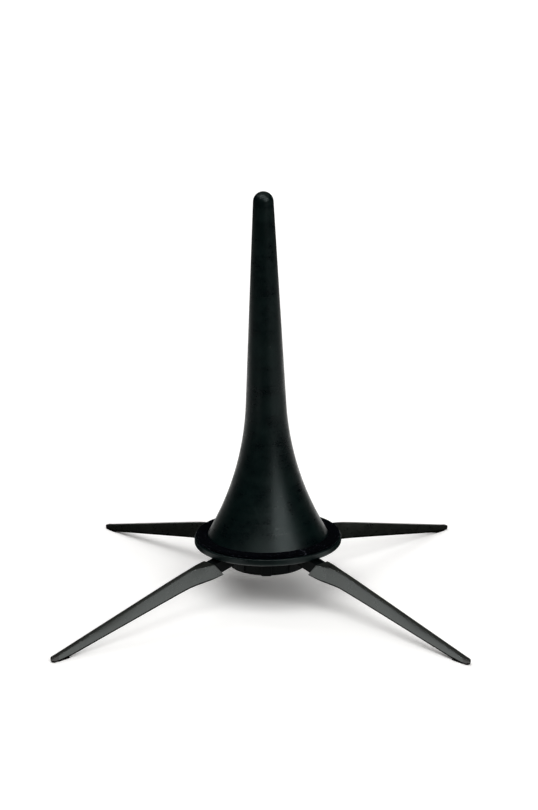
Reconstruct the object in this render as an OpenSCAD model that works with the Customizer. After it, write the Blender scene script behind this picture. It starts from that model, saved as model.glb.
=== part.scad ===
// In-bell trumpet stand: a hollow cone with a felt-covered brim, screwed to a
// hub with four sloping sockets. Four legs plug into the sockets, and go inside
// the cone for carrying, behind a cap in the hub's tube.
// Millimetres, +Z up. The origin is on the floor under the cone's axis, and the
// front is towards -Y.

/* [Cone] */
// Height of the cone's tip above the floor
stand_h = 263; // [255:1:275]
// Radius of the rounded tip
tip_r = 6.5; // [6:0.1:7.5]
// Radius gained per millimetre down the straight part
taper = 0.0505; // [0.046:0.0005:0.054]
// Height where the straight part turns into the flare
flare_z = 127; // [122:1:132]
// Radius of the flare's curve
flare_r = 190.6; // [186:0.1:196]
// Wall thickness of the cone
cone_wall = 1.8; // [1.5:0.1:2]

/* [Brim and felt] */
// Radius of the brim
brim_r = 48; // [47:0.5:50]
// Height of the brim's top face above the floor
brim_z = 37.6; // [37.2:0.1:38.4]
// Height of the brim's skirt
brim_h = 4.5; // [4.2:0.1:5]
// Thickness of the felt ring
felt_t = 2; // [1.5:0.1:2.5]
// Distance from the brim's edge to the felt's edge
felt_inset = 1.2; // [1:0.1:1.6]
// Direction of the felt's butt joint, in degrees from the front
felt_joint = 33; // [0:1:60]

/* [Hub] */
// Outer radius of the tube that the stored legs pass through
tube_r = 25.4; // [24.8:0.1:25.8]
// Height of the hub's lowest face above the floor
hub_z = 18.9; // [18:0.1:20]
// Wall thickness of the tube
tube_wall = 2.2; // [1.8:0.1:2.4]
// Slope of each socket arm, in degrees below level
arm_tilt = 12; // [10:0.5:13]
// Width of a socket arm
arm_w = 8.4; // [8:0.1:9]
// Height of a socket arm
arm_h = 7.6; // [7.2:0.1:8]
// Distance from the axis to the middle of an arm's mouth
mouth_r = 46.9; // [46:0.1:48]
// Height of the middle of an arm's mouth above the floor
mouth_z = 27.4; // [27:0.1:27.8]

/* [Legs] */
// Distance from the axis to the end of a foot
foot_reach = 175.2; // [168:0.1:182]
// Length of a foot, from its heel to its end
foot_l = 13.7; // [12:0.1:15]
// Width of a leg at its shoulder
root_w = 10.3; // [9.6:0.1:11]
// Height of a leg at its shoulder
root_h = 10.2; // [9.8:0.1:10.6]
// Width of a leg's blade
blade_w = 3.7; // [3:0.1:4.4]
// Width of the tongue that plugs into the hub
tongue_w = 5; // [4.4:0.1:5.2]
// Height of the tongue
tongue_h = 4.2; // [3.8:0.1:4.4]
// Length of the tongue
tongue_l = 19; // [15:0.5:19.5]

/* [Cap] */
// Thickness of the cap's plate
cap_t = 1.4; // [1.2:0.1:2]
// Height of the ring that plugs into the tube
plug_h = 5.2; // [4:0.1:6]
// Width of each spring tab
tab_w = 6.5; // [5:0.1:8]

/* [Hidden] */
$fn = 96;

// Directions of the four legs, and of the four screws and tabs between them
FRONT_RIGHT = -45;
BACK_RIGHT = 45;
BACK_LEFT = 135;
FRONT_LEFT = 225;
LEGS = [FRONT_RIGHT, BACK_RIGHT, BACK_LEFT, FRONT_LEFT];
BETWEEN = [0, 90, 180, 270];

// Cone outline: a dome, a straight taper, and a round flare tangent to it
taper_a = atan(taper);
dome_z = stand_h - tip_r;
flare_top_r = taper * (dome_z - flare_z) + tip_r / cos(taper_a);
flare_cr = flare_top_r + flare_r * cos(taper_a);
flare_cz = flare_z + flare_r * sin(taper_a);
function cone_r(z) = flare_cr - sqrt(pow(flare_r, 2) - pow(flare_cz - z, 2));
function flare_angle(radius, z) = asin((flare_cz - z) / radius);

// Brim and hub plate
brim_skin = 2;
skirt_wall = 1.8;
brim_low = brim_z - brim_h;
brim_under = brim_z - brim_skin;
plate_t = 2.2;
plate_r = brim_r - skirt_wall - 0.3;
plate_z = brim_under - plate_t;
felt_gap = 0.2;

// Screws and their bosses
screw_ring_r = 32.5;
boss_r = 3.2;
boss_top = brim_z + 5.9;
pilot_r = 1.3;
screw_r = 1.5;
screw_l = 8;
screw_hole_r = 1.8;
head_r = 2.9;
head_h = 1.8;

// Tube and cap
tube_low = hub_z + cap_t + 0.1;
bore_r = tube_r - tube_wall;
pad_r = tube_r + 0.6;
plug_r = bore_r - 0.25;
plug_wall = 1.6;
tab_t = 1.1;
tab_gap = 0.2;
tab_top = hub_z + 8;

// Arms and tongues
mouth_slant = 0.56;
mouth_gap = 0.1;
fit_gap = 0.1;
arm_back = 26;

// Leg outline, seen from the side: distances from the axis and heights
crest = [65.4, 31.25];
belly = [76, 17.3];
root_top = 4.7;
root_rise = 0.161;
sole_t = 0.6;
heel = [foot_reach - foot_l, sole_t];
toe = [foot_reach - 4.4, 4];
swell_from = 49.5;
swell_to = 69.5;
peg_h = 1.7;
peg_l = 2.6;

// A point beside the mouth: along the arm outwards, and across it upwards
function at_mouth(along, across) =
    [mouth_r + along * cos(arm_tilt) + across * sin(arm_tilt),
     mouth_z - along * sin(arm_tilt) + across * cos(arm_tilt)];

// A soft bend from one point to another round a corner
function bend(from, corner, to, steps = 8) =
    [for (i = [0 : steps]) let (t = i / steps)
        from * pow(1 - t, 2) + corner * 2 * t * (1 - t) + to * pow(t, 2)];

// Points of an arc about a centre
function arc(centre, radius, from, to, steps) =
    [for (i = [0 : steps]) let (a = from + (to - from) * i / steps)
        centre + radius * [cos(a), sin(a)]];

// Cone outline at a depth below the outer surface, from the foot of the flare
// at height z up to the tip
function cone_line(depth, z) =
    concat(arc([flare_cr, flare_cz], flare_r + depth,
               180 + flare_angle(flare_r + depth, z), 180 + taper_a, 30),
           arc([0, dome_z], tip_r - depth, taper_a, 90, 12));

function reversed(list) = [for (i = [len(list) - 1 : -1 : 0]) list[i]];

// An outline in a leg's side view, given a width
module slab(width) {
    rotate([90, 0, 0]) linear_extrude(width, center = true) children();
}

module cone_outline() {
    low_edge = 1.6;
    top_edge = 0.9;
    polygon(concat(
        [[brim_r - skirt_wall, brim_low]],
        arc([brim_r - low_edge, brim_low + low_edge], low_edge, -90, 0, 8),
        arc([brim_r - top_edge, brim_z - top_edge], top_edge, 0, 90, 6),
        cone_line(0, brim_z),
        reversed(cone_line(cone_wall, brim_under)),
        [[brim_r - skirt_wall, brim_under]]));
}

module cone_body() {
    color([0.05, 0.05, 0.06])
    difference() {
        union() {
            rotate_extrude() cone_outline();
            for (a = BETWEEN) rotate(a) translate([screw_ring_r, 0, brim_under])
                cylinder(r = boss_r, h = boss_top - brim_under);
        }
        for (a = BETWEEN) rotate(a) translate([screw_ring_r, 0, brim_under - 1])
            cylinder(r = pilot_r, h = screw_l);
    }
}

module felt_ring() {
    edge = 0.4;
    felt_r = brim_r - felt_inset;
    felt_top = brim_z + felt_t;
    color([0.08, 0.08, 0.10])
    difference() {
        rotate_extrude() polygon(concat(
            [[cone_r(brim_z) + felt_gap, brim_z], [felt_r, brim_z]],
            arc([felt_r - edge, felt_top - edge], edge, 0, 90, 4),
            [[cone_r(felt_top) + felt_gap, felt_top]]));
        rotate(felt_joint - 90) translate([0, -0.15, brim_z - 1])
            cube([brim_r + 1, 0.3, felt_t + 2]);
    }
}

// One arm of the hub, solid, in the leg's side view
module arm() {
    slab(arm_w) polygon([
        at_mouth(-arm_back, -arm_h / 2),
        at_mouth(-mouth_slant * arm_h / 2, -arm_h / 2),
        at_mouth(mouth_slant * arm_h / 2, arm_h / 2),
        at_mouth(-arm_back, arm_h / 2)]);
}

// A straight bar along the arm's axis, from one distance to another
module bar(width, height, from, to) {
    slab(width) polygon([
        at_mouth(from, -height / 2), at_mouth(to, -height / 2),
        at_mouth(to, height / 2), at_mouth(from, height / 2)]);
}

module leg_hub() {
    color([0.09, 0.09, 0.10])
    difference() {
        union() {
            translate([0, 0, tube_low])
                cylinder(r = tube_r, h = plate_z - tube_low + 1);
            translate([0, 0, plate_z]) cylinder(r = plate_r, h = plate_t);
            for (a = LEGS) rotate(a) {
                arm();
                // Flat pad that carries the arm down the tube
                translate([bore_r, -root_w / 2, tube_low])
                    cube([pad_r - bore_r, root_w, plate_z - tube_low + 1]);
            }
        }
        translate([0, 0, hub_z - 1]) cylinder(r = bore_r, h = brim_z);
        for (a = LEGS) rotate(a)
            bar(tongue_w + 2 * fit_gap, tongue_h + 2 * fit_gap,
                -tongue_l - 0.4, 8);
        for (a = BETWEEN) rotate(a) translate([screw_ring_r, 0, plate_z - 1])
            cylinder(r = screw_hole_r, h = plate_t + 2);
    }
}

// Self-tapping screw, head down, with a cross slot
module screw() {
    slot = 0.7;
    difference() {
        union() {
            translate([0, 0, -head_h]) cylinder(r = head_r, h = head_h);
            translate([0, 0, -0.1]) cylinder(r = screw_r, h = screw_l + 0.1);
        }
        for (a = [0, 90]) rotate(a) translate([-head_r * 0.6, -slot / 2, -head_h - 1])
            cube([head_r * 1.2, slot, 2]);
    }
}

module hub_screws() {
    color([0.55, 0.55, 0.57])
    for (a = BETWEEN) rotate(a) translate([screw_ring_r, 0, plate_z]) screw();
}

module storage_cap() {
    color([0.07, 0.07, 0.08])
    union() {
        translate([0, 0, hub_z]) cylinder(r = tube_r, h = cap_t);
        difference() {
            translate([0, 0, hub_z + cap_t - 0.1]) cylinder(r = plug_r, h = plug_h + 0.1);
            translate([0, 0, hub_z + cap_t]) cylinder(r = plug_r - plug_wall, h = plug_h + 1);
        }
        for (a = BETWEEN) rotate(a) {
            translate([bore_r, -tab_w / 2, hub_z])
                cube([tube_r + tab_gap + tab_t - bore_r, tab_w, cap_t]);
            translate([tube_r + tab_gap, -tab_w / 2, hub_z])
                cube([tab_t, tab_w, tab_top - hub_z]);
        }
    }
}

// Half the leg's width at a distance from the axis
function half_w(r) =
    let (t = max(0, min(1, (r - swell_from) / (swell_to - swell_from))))
    blade_w / 2 + (root_w - blade_w) / 2 * (1 + cos(180 * t)) / 2;

module leg() {
    fall = (crest[1] - toe[1]) / (toe[0] - crest[0]);
    rise = (belly[1] - heel[1]) / (heel[0] - belly[0]);
    root_low = root_h - root_top;
    steps = [for (i = [0 : 10]) swell_from + (swell_to - swell_from) * i / 10];
    color([0.16, 0.17, 0.18])
    union() {
        intersection() {
            slab(root_w + 2) polygon(concat(
                [at_mouth(mouth_gap - mouth_slant * root_low, -root_low)],
                bend(belly + [-9, 9 * root_rise], belly, belly + [9, -9 * rise]),
                [heel, [toe[0], heel[1]], toe],
                bend(crest + [8, -8 * fall], crest, crest + [-8, 0.1]),
                [at_mouth(mouth_gap + mouth_slant * root_top, root_top)]));
            linear_extrude(stand_h / 2) polygon(concat(
                [[mouth_r - 10, -root_w / 2]],
                [for (r = steps) [r, -half_w(r)]],
                [[toe[0], -blade_w / 2], [toe[0], blade_w / 2]],
                reversed([for (r = steps) [r, half_w(r)]]),
                [[mouth_r - 10, root_w / 2]]));
        }
        bar(tongue_w, tongue_h, -tongue_l, 3);
        // Peg that the foot tip is pressed onto
        translate([toe[0] - 1, -peg_h / 2, (toe[1] - peg_h) / 2])
            cube([peg_l + 1, peg_h, peg_h]);
    }
}

// Rubber nose with a thin sole that runs back under the foot
module foot_tip() {
    round_h = 1.7;
    end = foot_reach - round_h;
    color([0.03, 0.03, 0.03])
    difference() {
        intersection() {
            slab(blade_w + 2) polygon(concat(
                [[heel[0] + 1, sole_t], [heel[0] + 1, sole_t - 0.2], [heel[0] + 3, 0]],
                arc([end, round_h], round_h, -90, 90, 16),
                [toe, [toe[0], sole_t]]));
            linear_extrude(toe[1] + 2) polygon(concat(
                [[heel[0], -blade_w / 2]],
                arc([foot_reach - blade_w / 2, 0], blade_w / 2, -90, 90, 16),
                [[heel[0], blade_w / 2]]));
        }
        translate([toe[0] - 1, -peg_h / 2, (toe[1] - peg_h) / 2])
            cube([peg_l + 1.1, peg_h, peg_h]);
    }
}

cone_body();
felt_ring();
leg_hub();
hub_screws();
storage_cap();
rotate(FRONT_RIGHT) leg();  // leg_front_right
rotate(BACK_RIGHT) leg();  // leg_back_right
rotate(BACK_LEFT) leg();  // leg_back_left
rotate(FRONT_LEFT) leg();  // leg_front_left
rotate(FRONT_RIGHT) foot_tip();  // foot_tip_front_right
rotate(BACK_RIGHT) foot_tip();  // foot_tip_back_right
rotate(BACK_LEFT) foot_tip();  // foot_tip_back_left
rotate(FRONT_LEFT) foot_tip();  // foot_tip_front_left
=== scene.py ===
import math
import random

import bmesh
import bpy
from mathutils import Matrix, Vector
from mathutils import noise as noise3


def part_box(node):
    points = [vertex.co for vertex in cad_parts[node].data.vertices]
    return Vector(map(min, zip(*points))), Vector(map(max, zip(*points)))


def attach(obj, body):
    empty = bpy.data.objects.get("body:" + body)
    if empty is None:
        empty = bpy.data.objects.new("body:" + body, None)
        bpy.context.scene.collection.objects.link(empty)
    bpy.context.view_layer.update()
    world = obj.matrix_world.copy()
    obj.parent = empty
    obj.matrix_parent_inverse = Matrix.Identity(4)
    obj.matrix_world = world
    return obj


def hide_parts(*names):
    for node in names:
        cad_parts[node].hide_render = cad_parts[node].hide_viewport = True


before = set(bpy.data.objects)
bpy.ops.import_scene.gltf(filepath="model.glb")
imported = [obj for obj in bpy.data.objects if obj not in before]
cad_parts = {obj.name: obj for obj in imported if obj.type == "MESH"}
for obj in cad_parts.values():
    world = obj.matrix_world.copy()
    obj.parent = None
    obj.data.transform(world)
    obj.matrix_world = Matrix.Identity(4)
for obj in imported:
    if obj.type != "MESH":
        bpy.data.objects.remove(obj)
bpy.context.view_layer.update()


# ---------------------------------------------------------------- the cone
# The cone and its brim are one hollow moulding in satin black plastic, about 1.8 mm
# thick. It was turned out of a polished core and a finely textured cavity, so its
# outside has a fine grain, faint rings left by the lathe, and a few specks of dust.

MM = 0.001
CONE_LOW, CONE_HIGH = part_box("cone_body")
TIP_R = 6.5 * MM
TAPER = 0.0505
FLARE_Z = 127 * MM
FLARE_R = 190.6 * MM
CONE_WALL = 1.8 * MM
BRIM_R = CONE_HIGH.x
BRIM_H = 4.5 * MM
BRIM_SKIN = 2 * MM
SKIRT_WALL = 1.8 * MM
BRIM_LOW = CONE_LOW.z
BRIM_Z = BRIM_LOW + BRIM_H
LIP = 0.65 * MM
BRIM_EDGE = 1.6 * MM
CONE_SIDES = 192

DOME_Z = CONE_HIGH.z - TIP_R
TAPER_A = math.atan(TAPER)
FLARE_TOP_R = TAPER * (DOME_Z - FLARE_Z) + TIP_R / math.cos(TAPER_A)
FLARE_CR = FLARE_TOP_R + FLARE_R * math.cos(TAPER_A)
FLARE_CZ = FLARE_Z + FLARE_R * math.sin(TAPER_A)


def cone_r(z, depth=0.0):
    """Radius of the flare at height z, or of a surface that lies that deep under it."""
    return FLARE_CR - math.sqrt((FLARE_R + depth) ** 2 - (FLARE_CZ - z) ** 2)


def arc(r, z, radius, start, end, steps):
    """Points of a round corner about (r, z), with angles in degrees."""
    turns = [math.radians(start + (end - start) * i / steps) for i in range(steps + 1)]
    return [(r + radius * math.cos(a), z + radius * math.sin(a)) for a in turns]


def straight(start, end, steps):
    """Points evenly between two points, without the first one."""
    return [(start[0] + (end[0] - start[0]) * i / steps, start[1] + (end[1] - start[1]) * i / steps)
            for i in range(1, steps + 1)]


def cone_side(depth, foot_z):
    """The cone's outline from the foot of the flare up to the tip, that deep under its skin."""
    foot = math.degrees(math.asin((FLARE_CZ - foot_z) / (FLARE_R + depth)))
    lean = math.degrees(TAPER_A)
    flare = arc(FLARE_CR, FLARE_CZ, FLARE_R + depth, 180 + foot, 180 + lean, 60)
    dome = arc(0, DOME_Z, TIP_R - depth, lean, 90, 16)
    dome[-1] = (0.0, dome[-1][1])
    return flare + straight(flare[-1], dome[0], 24)[:-1] + dome


def piece(name, bm, finish, body):
    """Turns a bmesh into a smooth-shaded piece with its finish that rides on a body."""
    bmesh.ops.recalc_face_normals(bm, faces=bm.faces)
    mesh = bpy.data.meshes.new(name)
    bm.to_mesh(mesh)
    bm.free()
    made = bpy.data.objects.new(name, mesh)
    bpy.context.scene.collection.objects.link(made)
    mesh.materials.append(finish)
    mesh.shade_smooth()
    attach(made, body)
    return made


def turned(bm, outline, sides):
    """Turns an outline of (radius, height) points about the axis. Radius 0 is a single point."""
    rings = []
    for r, z in outline:
        if r < 1e-7:
            rings.append([bm.verts.new((0, 0, z))])
            continue
        angles = [2 * math.pi * i / sides for i in range(sides)]
        rings.append([bm.verts.new((r * math.cos(a), r * math.sin(a), z)) for a in angles])
    for low, high in zip(rings, rings[1:] + rings[:1]):
        if len(low) == 1 and len(high) == 1:
            continue
        for i in range(sides):
            j = (i + 1) % sides
            around = [low[i % len(low)], low[j % len(low)], high[j % len(high)], high[i % len(high)]]
            corners = list(dict.fromkeys(around))
            if len(corners) > 2:
                bm.faces.new(corners)


def finish_of(name, colour, roughness):
    """A new material, with its node tree and its shader, ready for detail to be linked in."""
    made = bpy.data.materials.new(name)
    made.use_nodes = True
    shader = made.node_tree.nodes["Principled BSDF"]
    shader.inputs["Base Color"].default_value = (*colour, 1)
    shader.inputs["Roughness"].default_value = roughness
    return made, made.node_tree, shader


def node(tree, kind, settings=None, **inputs):
    """Adds a node. Inputs are values or other nodes' outputs, and _0 is the first socket."""
    made = tree.nodes.new("ShaderNode" + kind)
    for key, value in (settings or {}).items():
        setattr(made, key, value)
    for key, value in inputs.items():
        socket = made.inputs[int(key[1:])] if key[0] == "_" else made.inputs[key.replace("_", " ")]
        if isinstance(value, bpy.types.NodeSocket):
            tree.links.new(value, socket)
        else:
            socket.default_value = value
    return made


def place_of(tree, stretch=(1, 1, 1)):
    """Position in the piece, in metres, stretched along the axes to draw a grain out."""
    at = node(tree, "TexCoord").outputs["Object"]
    return node(tree, "Mapping", Vector=at, Scale=stretch).outputs["Vector"]


def noise(tree, at, scale, detail=2.0, rough=0.5):
    """Fractal noise, from 0 to 1, with its scale in cycles per metre."""
    return node(tree, "TexNoise", Vector=at, Scale=scale, Detail=detail, Roughness=rough).outputs["Fac"]


def between(tree, value, low, high, to_low=0.0, to_high=1.0):
    """Maps a value from one range to another, and clamps it."""
    return node(tree, "MapRange", _0=value, _1=low, _2=high, _3=to_low, _4=to_high).outputs[0]


def blend_of(tree, share, first, second):
    """Mixes two colours."""
    mix = node(tree, "Mix", {"data_type": "RGBA"}, _0=share)
    for socket, value in ((mix.inputs[6], first), (mix.inputs[7], second)):
        if isinstance(value, bpy.types.NodeSocket):
            tree.links.new(value, socket)
        else:
            socket.default_value = (*value, 1)
    return mix.outputs[2]


def sum_of(tree, first, second, operation="ADD"):
    """One sum of two values."""
    return node(tree, "Math", {"operation": operation}, _0=first, _1=second).outputs[0]


def grained(tree, shader, height, depth, normal=None):
    """Bumps the shader's surface by a height map that is depth metres deep."""
    bump = node(tree, "Bump", Strength=1.0, Distance=depth, Height=height)
    if normal is not None:
        tree.links.new(normal, bump.inputs["Normal"])
    tree.links.new(bump.outputs["Normal"], shader.inputs["Normal"])
    return bump.outputs["Normal"]


satin_black, tree, shader = finish_of("satin_black", (0.0004, 0.0034, 0.0035), 0.34)
shader.inputs["Specular IOR Level"].default_value = 0.28
shader.inputs["Specular Tint"].default_value = (0.88, 1.0, 0.99, 1)
place = place_of(tree)
rings = noise(tree, place_of(tree, (14, 14, 1500)), 1.0, 3.0, 0.6)
smears = noise(tree, place_of(tree, (1, 1, 1.6)), 60, 5.0, 0.65)
grain = noise(tree, place, 3200, 2.0, 0.6)
pebble = noise(tree, place, 780, 3.0, 0.7)
wear = sum_of(tree, between(tree, smears, 0.36, 0.66, 0.28, 0.4),
              between(tree, rings, 0.3, 0.7, -0.04, 0.05))
wear = sum_of(tree, wear, between(tree, pebble, 0.3, 0.7, -0.05, 0.05))
tree.links.new(wear, shader.inputs["Roughness"])
speck = node(tree, "TexVoronoi", Vector=place, Scale=260).outputs
lot = node(tree, "SeparateColor", _0=speck["Color"]).outputs[0]
chosen = sum_of(tree, between(tree, speck["Distance"], 0.045, 0.02),
                between(tree, lot, 0.9, 0.92), "MULTIPLY")
clouded = blend_of(tree, between(tree, smears, 0.38, 0.66),
                   (0.0002, 0.002, 0.0023), (0.0009, 0.0056, 0.005))
dusty = blend_of(tree, chosen, clouded, (0.16, 0.15, 0.13))
tree.links.new(dusty, shader.inputs["Base Color"])
skin = grained(tree, shader, grain, 0.012 * MM)
skin = grained(tree, shader, rings, 0.004 * MM, skin)
grained(tree, shader, pebble, 0.045 * MM, skin)

cone = bmesh.new()
turned(cone, arc(BRIM_R - BRIM_EDGE, BRIM_LOW + BRIM_EDGE, BRIM_EDGE, -90, 0, 10)
       + arc(BRIM_R - LIP, BRIM_Z - LIP, LIP, 0, 90, 10)
       + straight((BRIM_R - LIP, BRIM_Z), (cone_r(BRIM_Z), BRIM_Z), 4)[:-1]
       + cone_side(0, BRIM_Z)
       + cone_side(CONE_WALL, BRIM_Z - BRIM_SKIN)[::-1]
       + [(BRIM_R - SKIRT_WALL, BRIM_Z - BRIM_SKIN), (BRIM_R - SKIRT_WALL, BRIM_LOW + 0.3 * MM),
          (BRIM_R - SKIRT_WALL + 0.2 * MM, BRIM_LOW)], CONE_SIDES)
cone_shell = piece("cone_shell", cone, satin_black, "base")
cone_shell.data.set_sharp_from_angle(angle=math.radians(40))
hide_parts("cone_body")


# ---------------------------------------------------------------- the felt ring
# A ring of pressed wool felt, 2 mm thick, glued on the brim so that the bell doesn't
# touch plastic. It is a cut strip bent round, so it has a butt joint at the front right.
# Its cut edges are ragged, and short wool fibres stand out of them, some of them pale.

FELT_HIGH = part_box("felt_ring")[1]
FELT_R = FELT_HIGH.x
FELT_TOP = FELT_HIGH.z
FELT_EDGE = 0.45 * MM
FELT_JOINT = math.radians(33 - 90)
JOINT_GAP = 0.3 * MM
RAGGED = 0.14 * MM
WORN = 0.07 * MM
FELT_STEPS = 900

blue_black_felt, tree, shader = finish_of("blue_black_felt", (0.0016, 0.0018, 0.0025), 0.95)
shader.inputs["Specular IOR Level"].default_value = 0.02
shader.inputs["Sheen Weight"].default_value = 0.007
shader.inputs["Sheen Roughness"].default_value = 0.5
shader.inputs["Sheen Tint"].default_value = (0.5, 0.52, 0.62, 1)
place = place_of(tree)
tufts = noise(tree, place, 900, 4.0, 0.7)
fibres = noise(tree, place_of(tree, (900, 900, 3200)), 1.0, 5.0, 0.75)
wool = blend_of(tree, between(tree, tufts, 0.42, 0.72),
                (0.0, 0.0001, 0.0003), (0.0012, 0.002, 0.004))
tree.links.new(wool, shader.inputs["Base Color"])
grained(tree, shader, fibres, 0.25 * MM)


def felt_outline():
    """The ring's section, once round: underside, outer edge, top, inner edge."""
    under = (cone_r(BRIM_Z) + 0.2 * MM, BRIM_Z)
    inner = (cone_r(FELT_TOP) + 0.2 * MM, FELT_TOP)
    outer = (FELT_R, BRIM_Z)
    edge = arc(FELT_R - FELT_EDGE, FELT_TOP - FELT_EDGE, FELT_EDGE, 0, 90, 5)
    return ([under] + straight(under, outer, 8) + straight(outer, edge[0], 4)
            + edge[1:] + straight(edge[-1], inner, 12) + straight(inner, under, 4)[:-1])


def felt_skin():
    """The ring swept from one side of its joint to the other, with its edges left uneven."""
    bm = bmesh.new()
    outline = felt_outline()
    start = FELT_JOINT + JOINT_GAP / 2 / FELT_R
    span = 2 * math.pi - JOINT_GAP / FELT_R
    stations = []
    for i in range(FELT_STEPS + 1):
        a = start + span * i / FELT_STEPS
        turn = Vector((math.cos(a), math.sin(a), 0))
        station = []
        for r, z in outline:
            at = turn * r + Vector((0, 0, z))
            wander = noise3.noise(at * 500) + 0.6 * noise3.noise(at * 1900)
            if r > FELT_R - 1.2 * MM and z > BRIM_Z:
                at -= turn * RAGGED * (0.5 - 0.5 * wander)
            if z > FELT_TOP - 0.05 * MM:
                at.z -= WORN * (0.5 - 0.5 * wander)
            station.append(bm.verts.new(at))
        stations.append(station)
    for one, other in zip(stations, stations[1:]):
        for i in range(len(outline)):
            j = (i + 1) % len(outline)
            bm.faces.new((one[i], one[j], other[j], other[i]))
    bm.faces.new(stations[0][::-1])
    bm.faces.new(stations[-1])
    return bm


felt_pad = piece("felt_pad", felt_skin(), blue_black_felt, "base")
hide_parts("felt_ring")

pale_wool, tree, shader = finish_of("pale_wool", (0.035, 0.04, 0.055), 0.9)
shader.inputs["Specular IOR Level"].default_value = 0.1
fleecy = noise(tree, place_of(tree), 1500, 2.0)
fleecy = blend_of(tree, fleecy, (0.03, 0.034, 0.045), (0.15, 0.16, 0.2))
tree.links.new(fleecy, shader.inputs["Base Color"])

FIBRE_R = 0.022 * MM
DARK_FIBRES = 2200
PALE_FIBRES = 520
JOINT_FIBRES = 110
wool_ends = random.Random(7)


def fibre(bm, a, thick):
    """One short curled fibre, at a place along the ring, on the felt's edge or on its top."""
    turn = Vector((math.cos(a), math.sin(a), 0))
    along = Vector((-math.sin(a), math.cos(a), 0))
    if wool_ends.random() < 0.6:
        lift = wool_ends.uniform(BRIM_Z + 0.2 * MM, FELT_TOP - 0.2 * MM)
        root = turn * (FELT_R - 0.12 * MM) + Vector((0, 0, lift))
        out = turn
    else:
        r = wool_ends.uniform(cone_r(FELT_TOP) + 0.6 * MM, FELT_R - 0.5 * MM)
        root = turn * r + Vector((0, 0, FELT_TOP - 0.1 * MM))
        out = Vector((0, 0, 1))
    length = wool_ends.uniform(0.35, 0.9) * MM
    lean = along * wool_ends.uniform(-1.6, 1.6)
    curl = Vector((wool_ends.uniform(-1, 1), wool_ends.uniform(-1, 1), wool_ends.uniform(-0.6, 0.3)))
    heading = (out * 0.8 + lean + curl * 0.3).normalized()
    side = heading.cross(out + along * 0.3).normalized()
    across = heading.cross(side)
    points = [root, root + heading * length * 0.5 + out * 0.06 * MM,
              root + heading * length + (curl - out * 0.5) * length * 0.25]
    rings = []
    for point, share in zip(points, (1.0, 0.8, 0.35)):
        rings.append([bm.verts.new(point + (side * math.cos(t) + across * math.sin(t)) * thick * share)
                      for t in (0, 2.094, 4.189)])
    for low, high in zip(rings, rings[1:]):
        for i in range(3):
            bm.faces.new((low[i], low[(i + 1) % 3], high[(i + 1) % 3], high[i]))


bm = bmesh.new()
for _ in range(DARK_FIBRES):
    fibre(bm, wool_ends.uniform(0, 2 * math.pi), FIBRE_R)
felt_fibres = piece("felt_fibres", bm, blue_black_felt, "base")

bm = bmesh.new()
for _ in range(PALE_FIBRES):
    fibre(bm, wool_ends.uniform(0, 2 * math.pi), FIBRE_R * 1.2)
for _ in range(JOINT_FIBRES):
    fibre(bm, FELT_JOINT + wool_ends.gauss(0, 0.35) * MM / FELT_R, FIBRE_R * 1.3)
pale_fibres = piece("pale_fibres", bm, pale_wool, "base")


# ---------------------------------------------------------------- the hub
# The hub is one moulding in matte black nylon: a plate that fills the brim from below, a
# tube, and four sloping arms with square sockets for the legs. Its edges are rounded by
# the mould's own radii.

def moulded(node_name, name, finish, body, radius):
    """A CAD node's own shape, with the radii that a mould gives its edges."""
    bm = bmesh.new()
    bm.from_mesh(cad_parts[node_name].data)
    bmesh.ops.remove_doubles(bm, verts=bm.verts, dist=1e-6)
    bmesh.ops.dissolve_limit(bm, angle_limit=math.radians(0.5), verts=bm.verts, edges=bm.edges)
    made = piece(name, bm, finish, body)
    made.data.set_sharp_from_angle(angle=math.radians(35))
    rounding = made.modifiers.new("mould_radii", "BEVEL")
    rounding.width = radius
    rounding.segments = 3
    rounding.limit_method = "ANGLE"
    rounding.angle_limit = math.radians(35)
    rounding.use_clamp_overlap = True
    rounding.harden_normals = False
    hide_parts(node_name)
    return made


def nylon(name, dark, light, roughness, grit, gloss, ior=1.5):
    """Matte nylon with a mottled skin, as a spark-eroded mould leaves it."""
    made, tree, shader = finish_of(name, light, roughness)
    shader.inputs["Specular IOR Level"].default_value = gloss
    shader.inputs["IOR"].default_value = ior
    shader.inputs["Specular Tint"].default_value = (0.92, 1.0, 0.985, 1)
    place = place_of(tree)
    mottle = noise(tree, place, 130, 5.0, 0.65)
    grain = noise(tree, place, 2400, 3.0, 0.65)
    fleck = noise(tree, place, 900, 3.0, 0.7)
    skin = blend_of(tree, between(tree, mottle, 0.3, 0.7), dark, light)
    tree.links.new(skin, shader.inputs["Base Color"])
    wear = sum_of(tree, between(tree, mottle, 0.3, 0.7, roughness - 0.04, roughness + 0.04),
                  between(tree, fleck, 0.3, 0.7, -0.04, 0.04))
    tree.links.new(wear, shader.inputs["Roughness"])
    skin = grained(tree, shader, grain, grit)
    grained(tree, shader, fleck, grit, skin)
    return made


hub_nylon = nylon("hub_nylon", (0.0008, 0.0014, 0.0016), (0.0016, 0.0025, 0.0028),
                  0.5, 0.03 * MM, 0.07)
hub = moulded("leg_hub", "hub", hub_nylon, "base", 0.35 * MM)


# ---------------------------------------------------------------- the screws
# Four zinc-plated self-tapping screws hold the hub in the cone. They go in from below.

zinc, tree, shader = finish_of("zinc", (0.42, 0.43, 0.45), 0.34)
shader.inputs["Metallic"].default_value = 1.0
place = place_of(tree)
bloom = noise(tree, place, 900, 4.0, 0.6)
plating = blend_of(tree, bloom, (0.34, 0.35, 0.36), (0.52, 0.53, 0.56))
tree.links.new(plating, shader.inputs["Base Color"])
tree.links.new(between(tree, bloom, 0.3, 0.7, 0.26, 0.45), shader.inputs["Roughness"])
grained(tree, shader, noise(tree, place, 5000, 2.0), 0.01 * MM)
screws = moulded("hub_screws", "screws", zinc, "base", 0.15 * MM)


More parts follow.
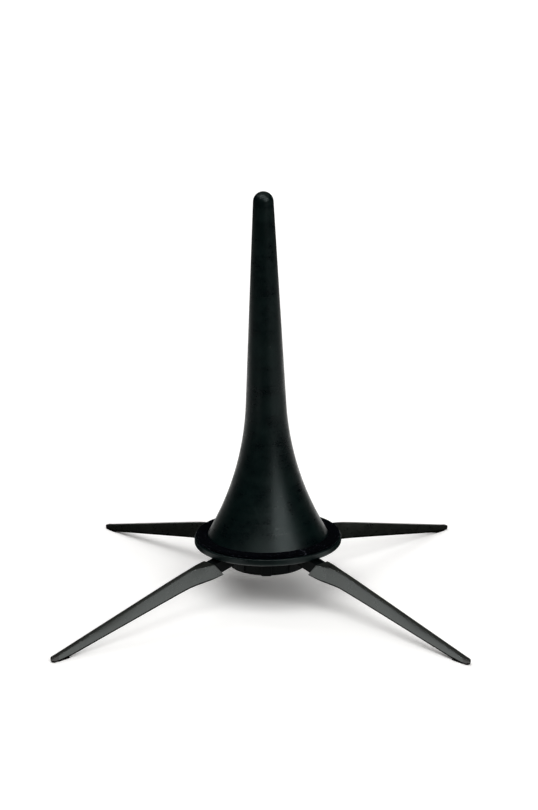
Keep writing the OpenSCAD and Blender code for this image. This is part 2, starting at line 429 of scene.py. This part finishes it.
# ---------------------------------------------------------------- the cap
# A cap closes the tube from below, so that the stored legs stay in. Its ring is a push
# fit in the tube, and four thin tabs grip the tube from outside.

cap = moulded("storage_cap", "cap", hub_nylon, "cap", 0.25 * MM)


# ---------------------------------------------------------------- the legs
# Four equal legs in dark grey glass-filled nylon. Each is a flat blade on edge that swells
# to a square root. A tongue on the root plugs into the hub's arm, as far as the shoulder.
# The faces of the rounded underside that point down take a darker nylon without gloss: painted shade along
# the lower edge.

MOUTH_R = 46.9 * MM
MOUTH_Z = 27.4 * MM
ARM_TILT = math.radians(12)
MOUTH_SLANT = 0.56
MOUTH_GAP = 0.1 * MM
ROOT_W = 10.3 * MM
ROOT_TOP = 4.7 * MM
ROOT_LOW = 5.5 * MM
BLADE_W = 3.7 * MM
TONGUE_W = 5 * MM
TONGUE_H = 4.2 * MM
TONGUE_L = 19 * MM
FOOT_REACH = 175.2 * MM
TOE_R = FOOT_REACH - 4.4 * MM
TOE_H = 4 * MM
CREST = (65.4 * MM, 31.25 * MM)
BELLY = (76 * MM, 17.3 * MM)
SOLE_T = 0.6 * MM
HEEL = (FOOT_REACH - 13.7 * MM, SOLE_T)
SWELL_FROM = 49.5 * MM
SWELL_TO = 69.5 * MM
TOP_CORNER = 0.35 * MM
LOW_CORNER = 1.6 * MM
SHOULDER_LOW = 0.5 * MM
SHOULDER_EDGE = 0.3 * MM
TONGUE_EDGE = 0.3 * MM
LEG_STEPS = 110
FALL = (CREST[1] - TOE_H) / (TOE_R - CREST[0])
RISE = (BELLY[1] - HEEL[1]) / (HEEL[0] - BELLY[0])


def past(x, softness):
    """How far x is past 0, with a soft turn there."""
    return (x + math.sqrt(x * x + softness * softness)) / 2


def top_z(r):
    """Height of a leg's top edge: level over the root, then falling to the toe."""
    return CREST[1] - 0.011 * min(0, r - CREST[0]) - FALL * past(r - CREST[0], 5 * MM)


def bottom_z(r):
    """Height of a leg's bottom edge: it turns down after the root and levels out at the heel."""
    root_rise = RISE - 0.161
    return HEEL[1] + RISE * past(HEEL[0] - r, 0.4 * MM) - root_rise * past(BELLY[0] - r, 6 * MM)


def half_w(r):
    """Half a leg's width: wide at the root, then an even swell down to the blade."""
    t = min(1, max(0, (r - SWELL_FROM) / (SWELL_TO - SWELL_FROM)))
    return BLADE_W / 2 + (ROOT_W - BLADE_W) / 2 * (1 + math.cos(math.pi * t)) / 2


def beside_mouth(along, across):
    """A point in a leg's side view: along the arm outwards, and across it upwards."""
    return (MOUTH_R + along * math.cos(ARM_TILT) + across * math.sin(ARM_TILT),
            MOUTH_Z - along * math.sin(ARM_TILT) + across * math.cos(ARM_TILT))


def rounded_loop(half_low, low, high, top_radius, low_radius=None, half_high=None, turn=5):
    """A ring of points in a leg: half its width, its lowest and highest (r, z), corners rounded."""
    height = math.dist(low, high)
    points = []
    for side, level, start in ((1, 1, 0), (-1, 1, 90), (-1, 0, 180), (1, 0, 270)):
        radius = top_radius if level or low_radius is None else low_radius
        half = half_low if half_high is None or not level else half_high
        radius = min(radius, half * 0.96, height * 0.49)
        for i in range(turn + 1):
            a = math.radians(start + 90 * i / turn)
            across = side * (half - radius) + radius * math.cos(a)
            up = (height - radius if level else radius) + radius * math.sin(a)
            share = up / height
            points.append((low[0] + (high[0] - low[0]) * share, across,
                           low[1] + (high[1] - low[1]) * share))
    return points


def lofted(bm, loops, turn_z):
    """Joins rings of points into one closed skin, turned about the axis by an angle."""
    turn = Matrix.Rotation(turn_z, 3, "Z")
    rings = [[bm.verts.new(turn @ Vector(p)) for p in loop] for loop in loops]
    for low, high in zip(rings, rings[1:]):
        for i in range(len(low)):
            j = (i + 1) % len(low)
            bm.faces.new((low[i], low[j], high[j], high[i]))
    bm.faces.new(rings[0][::-1])
    bm.faces.new(rings[-1])


def bar_loop(along, width, height, radius):
    """A ring square to the arm's axis, as the tongue has."""
    return rounded_loop(width / 2, beside_mouth(along, -height / 2), beside_mouth(along, height / 2), radius)


def shoulder_loop(inset, set_back):
    """A ring on the slanted shoulder, smaller all round by inset and set back along the arm."""
    up, down = ROOT_TOP - inset, ROOT_LOW - inset
    low = beside_mouth(MOUTH_GAP + set_back - MOUTH_SLANT * down, -down)
    high = beside_mouth(MOUTH_GAP + set_back + MOUTH_SLANT * up, up)
    return rounded_loop(ROOT_W / 2 - inset, low, high, TOP_CORNER, SHOULDER_LOW)


def leg_loops():
    """All the rings of one leg, from the tip of its tongue to its toe."""
    loops = [bar_loop(-TONGUE_L, TONGUE_W - 0.8 * MM, TONGUE_H - 0.8 * MM, TONGUE_EDGE),
             bar_loop(-TONGUE_L + 0.4 * MM, TONGUE_W, TONGUE_H, TONGUE_EDGE),
             bar_loop(-3.5 * MM, TONGUE_W, TONGUE_H, TONGUE_EDGE)]
    reach = TONGUE_H / 2
    loops.append(rounded_loop(TONGUE_W / 2, beside_mouth(MOUTH_GAP - MOUTH_SLANT * reach, -reach),
                              beside_mouth(MOUTH_GAP + MOUTH_SLANT * reach, reach), TONGUE_EDGE))
    edge = SHOULDER_EDGE
    loops += [shoulder_loop(edge * 2, 0), shoulder_loop(edge, 0),
              shoulder_loop(edge * 0.3, edge * 0.3), shoulder_loop(0, edge)]
    start = Vector(beside_mouth(MOUTH_GAP + edge, 0))
    low = Vector(beside_mouth(MOUTH_GAP + edge - MOUTH_SLANT * ROOT_LOW, -ROOT_LOW))
    high = Vector(beside_mouth(MOUTH_GAP + edge + MOUTH_SLANT * ROOT_TOP, ROOT_TOP))
    for i in range(1, LEG_STEPS + 1):
        r = start.x + (TOE_R - start.x) * i / LEG_STEPS
        slant = max(0, 1 - (r - start.x) / (26 * MM))
        r_low = r + (low.x - start.x) * slant
        r_high = r + (high.x - start.x) * slant
        settle = max(0, 1 - (r - start.x) / (5 * MM))
        z_low = bottom_z(r_low) + (low.y - bottom_z(low.x)) * settle
        z_high = top_z(r_high) + (high.y - top_z(high.x)) * settle
        heel = min(1, max(0, (TOE_R - r) / (9 * MM)))
        grow = min(heel, (r - start.x) / (10 * MM))
        under = SHOULDER_LOW + (LOW_CORNER - SHOULDER_LOW) * grow
        loops.append(rounded_loop(half_w(r_low), (r_low, z_low), (r_high, z_high),
                                  TOP_CORNER, under, half_w(r_high)))
    return loops


leg_nylon = nylon("leg_nylon", (0.0045, 0.005, 0.004), (0.0086, 0.0092, 0.0072),
                  0.31, 0.03 * MM, 1.0, 1.56)
# A darker copy of the leg nylon without gloss: painted shade for the faces of the underside that point down.
leg_underside_painted_shade = nylon("leg_underside_painted_shade", (0.0022, 0.0025, 0.002), (0.004, 0.0044, 0.0036),
                      0.55, 0.04 * MM, 0.0)
FACES_DOWN = -0.1
LEGS = {"front_right": -45, "back_right": 45, "back_left": 135, "front_left": 225}
for side, azimuth in LEGS.items():
    bm = bmesh.new()
    lofted(bm, leg_loops(), math.radians(azimuth))
    leg = piece("leg_blade_" + side, bm, leg_nylon, "leg_" + side)
    leg.data.set_sharp_from_angle(angle=math.radians(38))
    leg.data.materials.append(leg_underside_painted_shade)
    # Faces low on the leg that point down take the painted shade.
    for face in leg.data.polygons:
        along = math.hypot(face.center.x, face.center.y)
        near_bottom = along > MOUTH_R - 3 * MM and face.center.z < bottom_z(along) + 1.5 * MM
        if near_bottom and face.normal.z < FACES_DOWN:
            face.material_index = 1
    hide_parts("leg_" + side)


# ---------------------------------------------------------------- the foot tips
# A soft black rubber nose is pressed on the end of each leg, level with the blade. A thin
# sole runs back from it under the foot, and stands flat on the floor. The sole and the
# faces of the tip that point down take a darker rubber without gloss: painted shade.

def rubber(name, dark, light, gloss):
    """Soft black rubber with a faint bloom on its skin."""
    made, tree, shader = finish_of(name, light, 0.4)
    shader.inputs["Specular IOR Level"].default_value = gloss
    place = place_of(tree)
    bloom = noise(tree, place, 700, 4.0, 0.6)
    tree.links.new(blend_of(tree, bloom, dark, light), shader.inputs["Base Color"])
    tree.links.new(between(tree, bloom, 0.3, 0.7, 0.34, 0.46), shader.inputs["Roughness"])
    grained(tree, shader, noise(tree, place, 4000, 2.0), 0.02 * MM)
    return made


soft_rubber = rubber("soft_rubber", (0.004, 0.004, 0.003), (0.008, 0.008, 0.006), 0.85)
# A darker rubber without gloss: painted shade for the sole and the faces that point down.
painted_shade_sole_rubber = rubber("painted_shade_sole_rubber", (0.002, 0.002, 0.002), (0.006, 0.005, 0.004), 0.0)

NOSE_R = 1.7 * MM
NOSE_CORNER = 1.2 * MM
NOSE_STEPS = 16
NOSE_FROM = FOOT_REACH - NOSE_R


def tip_loops():
    """The rings of a foot tip, from the back of its sole to its round nose."""
    loops = []
    back = HEEL[0] + 1 * MM
    for r, low in ((back, SOLE_T - 0.2 * MM), (back + 0.6 * MM, 0.28 * MM),
                   (back + 1.3 * MM, 0.12 * MM), (back + 2 * MM, 0.01 * MM),
                   (back + 2.6 * MM, 0.0), (TOE_R - 0.03 * MM, 0.0)):
        loops.append(rounded_loop(BLADE_W / 2, (r, low), (r, SOLE_T - 0.01 * MM), 0.02 * MM, 0.2 * MM))
    round_w = BLADE_W / 2
    for i in range(NOSE_STEPS + 1):
        share = i / NOSE_STEPS
        r = TOE_R + 0.03 * MM + (FOOT_REACH - 0.04 * MM - TOE_R) * (1 - (1 - share) ** 1.7)
        past_round = max(0, r - (FOOT_REACH - round_w))
        half = math.sqrt(max(0.01, round_w ** 2 / MM ** 2 - past_round ** 2 / MM ** 2)) * MM
        past_nose = max(0, r - NOSE_FROM)
        lift = NOSE_R - math.sqrt(max(0, NOSE_R ** 2 - past_nose ** 2))
        top = TOE_H + (2 * NOSE_R - TOE_H) * min(1, (r - TOE_R) / (NOSE_FROM - TOE_R)) - lift
        top = max(top, lift + 0.15 * MM)
        loops.append(rounded_loop(half, (r, lift), (r, top), TOP_CORNER, NOSE_CORNER))
    return loops


for side, azimuth in LEGS.items():
    bm = bmesh.new()
    lofted(bm, tip_loops(), math.radians(azimuth))
    tip = piece("rubber_tip_" + side, bm, soft_rubber, "leg_" + side)
    tip.data.materials.append(painted_shade_sole_rubber)
    # The sole and the faces that point down take the painted shade.
    for face in tip.data.polygons:
        if face.center.z < SOLE_T or face.normal.z < FACES_DOWN:
            face.material_index = 1
    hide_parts("foot_tip_" + side)


# ---------------------------------------------------------------- the studio
# A wide white floor under a dim soft sky, four soft lamps, black sheets seen only in
# reflections, which paint dark reflections in place of the far room and parts of the floor,
# and a camera at a seated person's height.

def towards(height, azimuth):
    """Unit vector towards a height and an azimuth from +X towards +Y, in degrees."""
    a, h = math.radians(azimuth), math.radians(height)
    return Vector((math.cos(a) * math.cos(h), math.sin(a) * math.cos(h), math.sin(h)))


def on_stage(name, bm, finish):
    """A piece of the studio, which is no part of the stand."""
    mesh = bpy.data.meshes.new(name)
    bm.to_mesh(mesh)
    bm.free()
    mesh.materials.append(finish)
    made = bpy.data.objects.new(name, mesh)
    bpy.context.scene.collection.objects.link(made)
    return made


paper, tree, shader = finish_of("white_paper", (0.86, 0.86, 0.86), 0.9)
tree.nodes.remove(shader)
path = node(tree, "LightPath").outputs
seen = sum_of(tree, path["Is Camera Ray"], path["Is Glossy Ray"], "MAXIMUM")
seen = sum_of(tree, seen, path["Is Transmission Ray"], "MAXIMUM")
white = blend_of(tree, seen, (0.86, 0.855, 0.845), (1.14, 1.137, 1.13))
sheet = node(tree, "BsdfDiffuse", Color=white)
glow = node(tree, "Emission", Color=(1, 1, 1, 1), Strength=sum_of(tree, seen, 0.02, "MULTIPLY"))
both = node(tree, "AddShader", _0=sheet.outputs[0], _1=glow.outputs[0])
tree.links.new(both.outputs[0], tree.nodes["Material Output"].inputs["Surface"])

FLOOR_HALF = 40.0
bm = bmesh.new()
bm.faces.new([bm.verts.new((x * FLOOR_HALF, y * FLOOR_HALF, 0))
              for x, y in ((-1, -1), (1, -1), (1, 1), (-1, 1))])
on_stage("floor", bm, paper)


def in_gloss_only(made):
    """Hides a black sheet from everything but reflections, so that it only paints dark reflections."""
    made.visible_camera = False
    made.visible_diffuse = False
    made.visible_shadow = False
    made.visible_transmission = False


# A black sheet seen only in reflections: painted dark reflections on the cone and the legs.
dark_reflection_sheet, tree, shader = finish_of("painted_dark_reflection_sheet", (0.004, 0.004, 0.004), 1.0)
shader.inputs["Specular IOR Level"].default_value = 0.0
CURTAIN_R = 0.9
CURTAIN_BACK = 0.3
CURTAIN_LOW = 0.5 * MM
CURTAIN_HIGH = 0.95
CURTAIN_SIDES = 96
bm = bmesh.new()
rings = []
for z in (CURTAIN_LOW, CURTAIN_HIGH):
    angles = [2 * math.pi * i / CURTAIN_SIDES for i in range(CURTAIN_SIDES)]
    rings.append([bm.verts.new((CURTAIN_R * math.cos(a), CURTAIN_BACK + CURTAIN_R * math.sin(a), z))
                  for a in angles])
for i in range(CURTAIN_SIDES):
    j = (i + 1) % CURTAIN_SIDES
    bm.faces.new((rings[0][i], rings[0][j], rings[1][j], rings[1][i]))
in_gloss_only(on_stage("dark_reflection_curtain", bm, dark_reflection_sheet))

# Black cards on the floor, seen only in reflections: painted dark reflections of parts of the white floor.
CARD_Z = 0.3 * MM
CARDS = {"left_card": (120, 176, 0.03, 0.55), "left_far_card": (176, 222, 0.2, 0.6),
         "right_card": (4, 60, 0.03, 0.55), "front_card": (-120, -60, 0.115, 0.6)}
for name, (turn_from, turn_to, near, far) in CARDS.items():
    bm = bmesh.new()
    corners = []
    for azimuth, reach in ((turn_from, near), (turn_from, far), (turn_to, far), (turn_to, near)):
        a = math.radians(azimuth)
        corners.append(bm.verts.new((reach * math.cos(a), reach * math.sin(a), CARD_Z)))
    bm.faces.new(corners)
    in_gloss_only(on_stage(name, bm, dark_reflection_sheet))


def lamp(name, azimuth, height, strength, spread):
    """A soft distant lamp, with where it stands, its strength and its width in degrees."""
    light = bpy.data.lights.new(name, "SUN")
    light.energy = strength
    light.angle = math.radians(spread)
    light.cycles.use_multiple_importance_sampling = False
    made = bpy.data.objects.new(name, light)
    bpy.context.scene.collection.objects.link(made)
    made.rotation_euler = towards(height, azimuth).to_track_quat("Z", "Y").to_euler()
    return made


lamp("front_lamp", -101, 66, 1.19, 44)
lamp("right_lamp", -51, 34, 1.3, 38)
back_lamp = lamp("back_lamp", 127.5, 42, 0.53, 30)
back_lamp.visible_glossy = False
lamp("left_lamp", -171, 58, 0.365, 30)

scene = bpy.context.scene
world = bpy.data.worlds.new("studio")
world.use_nodes = True
world.node_tree.nodes["Background"].inputs["Color"].default_value = (1.0, 0.975, 0.94, 1)
world.node_tree.nodes["Background"].inputs["Strength"].default_value = 0.19
scene.world = world
scene.view_settings.view_transform = "Standard"

CAMERA_AWAY = 1.0758
CAMERA_HEIGHT = 0.4091
CAMERA_SIDE = math.radians(2.79)
CAMERA_HEADING = math.radians(2.69)
CAMERA_PITCH = math.radians(14.76)
CAMERA_ROLL = math.radians(-0.76)
camera_data = bpy.data.cameras.new("camera")
camera_data.lens = 77.1
camera_data.sensor_width = 36
camera_data.sensor_fit = "AUTO"
camera = bpy.data.objects.new("camera", camera_data)
scene.collection.objects.link(camera)
camera.matrix_world = (
    Matrix.Translation((CAMERA_AWAY * math.sin(CAMERA_SIDE), -CAMERA_AWAY * math.cos(CAMERA_SIDE),
                        CAMERA_HEIGHT))
    @ Matrix.Rotation(CAMERA_HEADING, 4, "Z")
    @ Matrix.Rotation(math.pi / 2 - CAMERA_PITCH, 4, "X")
    @ Matrix.Rotation(CAMERA_ROLL, 4, "Z"))
scene.camera = camera
